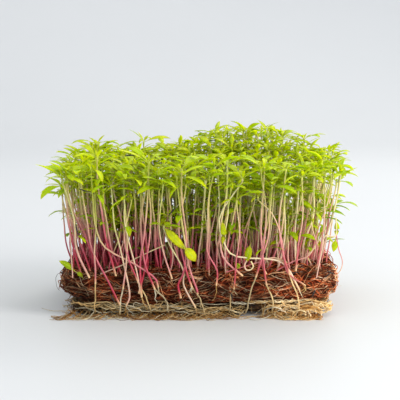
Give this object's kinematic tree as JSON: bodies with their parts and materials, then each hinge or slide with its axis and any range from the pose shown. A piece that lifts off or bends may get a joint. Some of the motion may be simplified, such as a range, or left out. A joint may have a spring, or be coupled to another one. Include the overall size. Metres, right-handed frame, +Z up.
{
  "type": "block of microgreens on a coir mat, lifted out of its tray",
  "caption": "Block of marigold-like microgreens: leafy thin stems in tufts, standing in a pressed coir slab with pale roots matted under it. Shown without a tray.",
  "frame": {"origin": "on the surface that the block rests on, under the middle of the slab", "axes": "+X along the slab's length, -Y towards the front that the picture shows, +Z up along the stems"},
  "size_m": [0.1619, 0.1185, 0.0958],
  "materials": {
    "coir": "matted coconut fibre, reddish brown, damp",
    "roots": "matted roots, cream to ochre",
    "stems": "smooth stem, crimson at the foot to pale green at the crown",
    "leaves": "soft satin leaf, lime green"
  },
  "bodies": {
    "root": {"coir_slab": "coir", "roots": "roots", "stems_01": "stems", "leaves_01": "leaves", "stems_02": "stems", "leaves_02": "leaves", "stems_03": "stems", "leaves_03": "leaves", "stems_04": "stems", "leaves_04": "leaves", "stems_05": "stems", "leaves_05": "leaves", "stems_06": "stems", "leaves_06": "leaves", "stems_07": "stems", "leaves_07": "leaves", "stems_08": "stems", "leaves_08": "leaves", "stems_09": "stems", "leaves_09": "leaves", "stems_10": "stems", "leaves_10": "leaves", "stems_11": "stems", "leaves_11": "leaves", "stems_12": "stems", "leaves_12": "leaves", "stems_13": "stems", "leaves_13": "leaves", "stems_14": "stems", "leaves_14": "leaves", "stems_15": "stems", "leaves_15": "leaves", "stems_16": "stems", "leaves_16": "leaves", "stems_17": "stems", "leaves_17": "leaves", "stems_18": "stems", "leaves_18": "leaves", "stems_19": "stems", "leaves_19": "leaves", "stems_20": "stems", "leaves_20": "leaves", "stems_21": "stems", "leaves_21": "leaves", "stems_22": "stems", "leaves_22": "leaves", "stems_23": "stems", "leaves_23": "leaves", "stems_24": "stems", "leaves_24": "leaves", "stems_25": "stems", "leaves_25": "leaves", "stems_26": "stems", "leaves_26": "leaves", "stems_27": "stems", "leaves_27": "leaves", "stems_28": "stems", "leaves_28": "leaves", "leaves_low_left": "leaves", "leaves_low_right": "leaves"}
  },
  "joints": []
}
